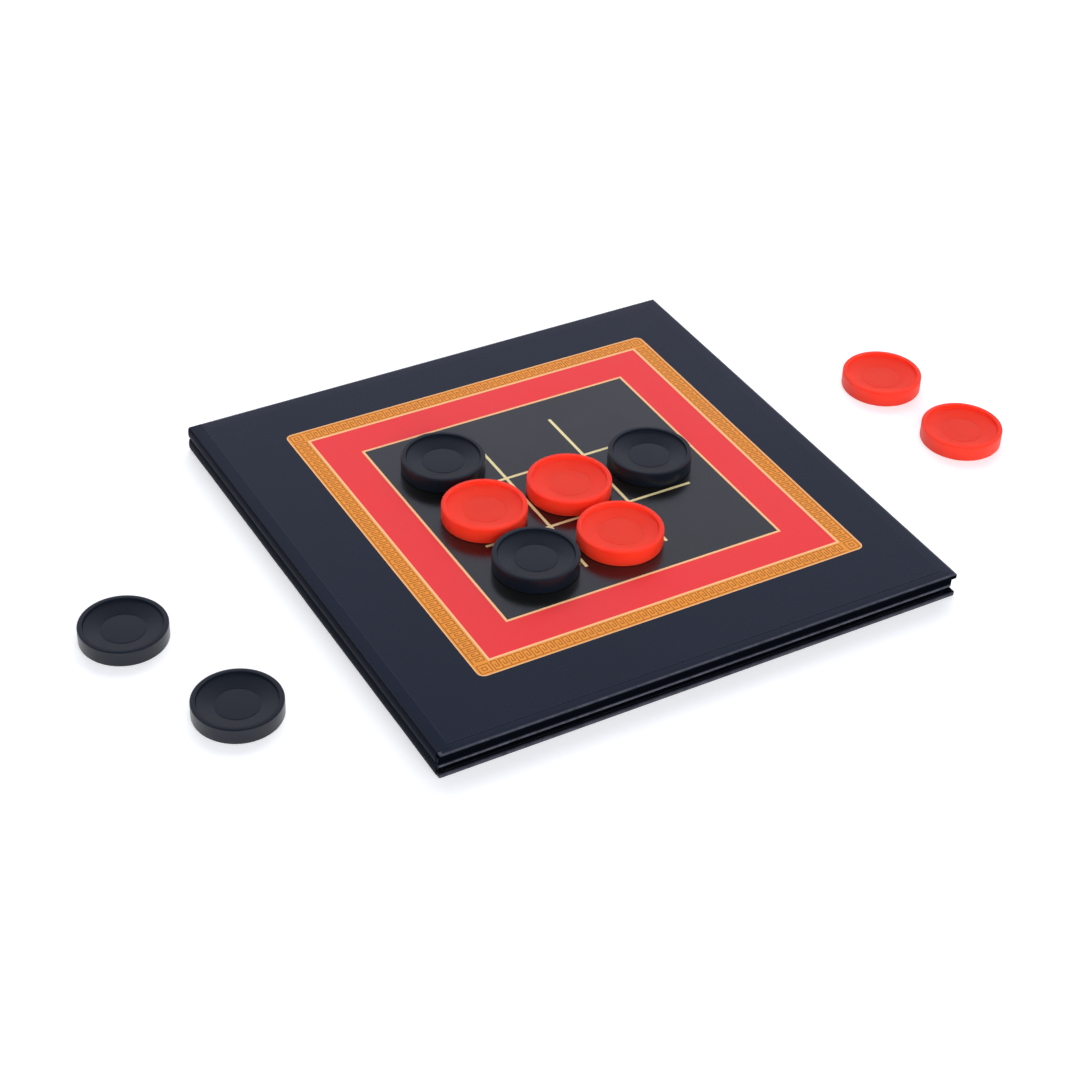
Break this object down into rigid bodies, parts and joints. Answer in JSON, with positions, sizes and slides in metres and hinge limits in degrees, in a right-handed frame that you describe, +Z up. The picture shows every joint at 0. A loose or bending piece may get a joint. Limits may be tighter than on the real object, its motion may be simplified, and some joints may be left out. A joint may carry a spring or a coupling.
{
  "type": "combination board game set",
  "caption": "Folding card game board with wrapped spines, a printed grid on its outer face and printed faces inside, with loose dished playing discs on and beside it.",
  "frame": {"origin": "on the table, under the middle of the folded board's square", "axes": "+Z up, +X along the front edge to the right, +Y from the front corner along the left spines"},
  "size_m": [0.3521, 0.2, 0.0157],
  "materials": {
    "board_card": "raw grey card, covered",
    "black_binding": "satin coated paper",
    "outer_sheet": "satin print",
    "game_sheet": "satin print",
    "spine_cloth": "fine black book cloth",
    "spine_liner": "black card strip",
    "red_plastic": "moulded, soft gloss",
    "black_plastic": "moulded, soft gloss"
  },
  "bodies": {
    "bottom_panel": {"bottom_panel_card": "board_card", "bottom_panel_binding": "black_binding", "bottom_panel_outer_sheet": "outer_sheet", "bottom_panel_game_sheet": "game_sheet"},
    "lower_middle_panel": {"lower_middle_panel_card": "board_card", "lower_middle_panel_binding": "black_binding", "lower_middle_panel_outer_sheet": "outer_sheet", "lower_middle_panel_game_sheet": "game_sheet"},
    "upper_middle_panel": {"upper_middle_panel_card": "board_card", "upper_middle_panel_binding": "black_binding", "upper_middle_panel_outer_sheet": "outer_sheet", "upper_middle_panel_game_sheet": "game_sheet"},
    "top_panel": {"top_panel_card": "board_card", "top_panel_binding": "black_binding", "top_panel_outer_sheet": "outer_sheet", "top_panel_game_sheet": "game_sheet"},
    "lower_spine": {"lower_spine_cloth": "spine_cloth", "lower_spine_liner": "spine_liner"},
    "front_spine": {"front_spine_cloth": "spine_cloth", "front_spine_liner": "spine_liner"},
    "upper_spine": {"upper_spine_cloth": "spine_cloth", "upper_spine_liner": "spine_liner"},
    "red_disc_1": {"red_disc_1": "red_plastic"},
    "red_disc_2": {"red_disc_2": "red_plastic"},
    "red_disc_3": {"red_disc_3": "red_plastic"},
    "red_disc_4": {"red_disc_4": "red_plastic"},
    "red_disc_5": {"red_disc_5": "red_plastic"},
    "black_disc_1": {"black_disc_1": "black_plastic"},
    "black_disc_2": {"black_disc_2": "black_plastic"},
    "black_disc_3": {"black_disc_3": "black_plastic"},
    "black_disc_4": {"black_disc_4": "black_plastic"},
    "black_disc_5": {"black_disc_5": "black_plastic"}
  },
  "joints": [
    {"name": "lower_fold", "type": "hinge", "parent": "bottom_panel", "child": "lower_spine", "pos_m": [-0.1, 0, 0], "axis": [0, -1, 0], "range_deg": [0, 75]},
    {"name": "lower_fold_second_crease", "type": "hinge", "parent": "lower_spine", "child": "lower_middle_panel", "pos_m": [-0.1, 0, 0.0047], "axis": [0, -1, 0], "range_deg": [0, 75]},
    {"name": "front_fold", "type": "hinge", "parent": "lower_middle_panel", "child": "front_spine", "pos_m": [0, -0.09795, 0.0025], "axis": [1, 0, 0], "range_deg": [0, 90]},
    {"name": "front_fold_second_crease", "type": "hinge", "parent": "front_spine", "child": "upper_middle_panel", "pos_m": [0, -0.09795, 0.0072], "axis": [1, 0, 0], "range_deg": [0, 90]},
    {"name": "upper_fold", "type": "hinge", "parent": "upper_middle_panel", "child": "upper_spine", "pos_m": [-0.1, 0, 0.005], "axis": [0, -1, 0], "range_deg": [0, 85]},
    {"name": "upper_fold_second_crease", "type": "hinge", "parent": "upper_spine", "child": "top_panel", "pos_m": [-0.1, 0, 0.0097], "axis": [0, -1, 0], "range_deg": [0, 85]},
    {"name": "red_disc_1_lift", "type": "slide", "parent": "top_panel", "child": "red_disc_1", "axis": [0, 0, 1], "range_m": [0, 0.06]},
    {"name": "red_disc_2_lift", "type": "slide", "parent": "top_panel", "child": "red_disc_2", "axis": [0, 0, 1], "range_m": [0, 0.06]},
    {"name": "red_disc_3_lift", "type": "slide", "parent": "top_panel", "child": "red_disc_3", "axis": [0, 0, 1], "range_m": [0, 0.06]},
    {"name": "red_disc_4_lift", "type": "slide", "parent": "bottom_panel", "child": "red_disc_4", "axis": [0, 0, 1], "range_m": [0, 0.06]},
    {"name": "red_disc_5_lift", "type": "slide", "parent": "bottom_panel", "child": "red_disc_5", "axis": [0, 0, 1], "range_m": [0, 0.06]},
    {"name": "black_disc_1_lift", "type": "slide", "parent": "top_panel", "child": "black_disc_1", "axis": [0, 0, 1], "range_m": [0, 0.06]},
    {"name": "black_disc_2_lift", "type": "slide", "parent": "top_panel", "child": "black_disc_2", "axis": [0, 0, 1], "range_m": [0, 0.06]},
    {"name": "black_disc_3_lift", "type": "slide", "parent": "top_panel", "child": "black_disc_3", "axis": [0, 0, 1], "range_m": [0, 0.06]},
    {"name": "black_disc_4_lift", "type": "slide", "parent": "bottom_panel", "child": "black_disc_4", "axis": [0, 0, 1], "range_m": [0, 0.06]},
    {"name": "black_disc_5_lift", "type": "slide", "parent": "bottom_panel", "child": "black_disc_5", "axis": [0, 0, 1], "range_m": [0, 0.06]}
  ],
  "couplings": [
    {"joint": "lower_fold_second_crease", "follows": "lower_fold", "ratio": 1},
    {"joint": "front_fold_second_crease", "follows": "front_fold", "ratio": 1},
    {"joint": "upper_fold_second_crease", "follows": "upper_fold", "ratio": 1}
  ]
}
